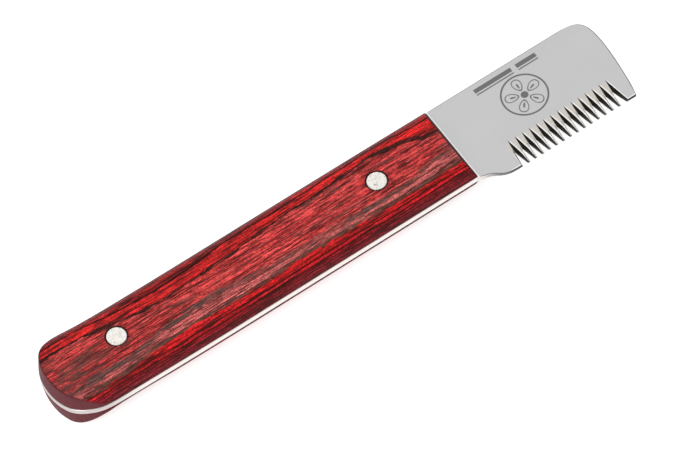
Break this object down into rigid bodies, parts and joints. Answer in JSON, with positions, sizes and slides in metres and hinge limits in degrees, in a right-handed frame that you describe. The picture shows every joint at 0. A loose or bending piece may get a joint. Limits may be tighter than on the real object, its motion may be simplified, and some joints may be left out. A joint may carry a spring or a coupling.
{
  "type": "uncapping knife",
  "caption": "Short full-tang uncapping knife: a rectangular steel blade with a comb-toothed edge and a riveted two-scale laminated wood grip.",
  "frame": {"origin": "middle of the grip, on the flat land of the rear scale, which is the plane the knife rests on", "axes": "+X from the butt to the blade's nose, +Y from the toothed edge to the back of the blade, +Z out of the front face"},
  "size_m": [0.1612, 0.0266, 0.0122],
  "materials": {
    "blade_steel": "fine satin, ground teeth brighter",
    "dyed_laminate": "red-dyed laminated veneer under a clear gloss lacquer",
    "adhesive": "cured epoxy bond line",
    "rivet_metal": "ground flush, mottled satin"
  },
  "bodies": {
    "root": {"blade": "blade_steel", "front_scale": "dyed_laminate", "rear_scale": "dyed_laminate", "front_adhesive_film": "adhesive", "rear_adhesive_film": "adhesive", "blade_end_rivet_post": "rivet_metal", "blade_end_rivet_sleeve": "rivet_metal", "butt_end_rivet_post": "rivet_metal", "butt_end_rivet_sleeve": "rivet_metal"}
  },
  "joints": []
}
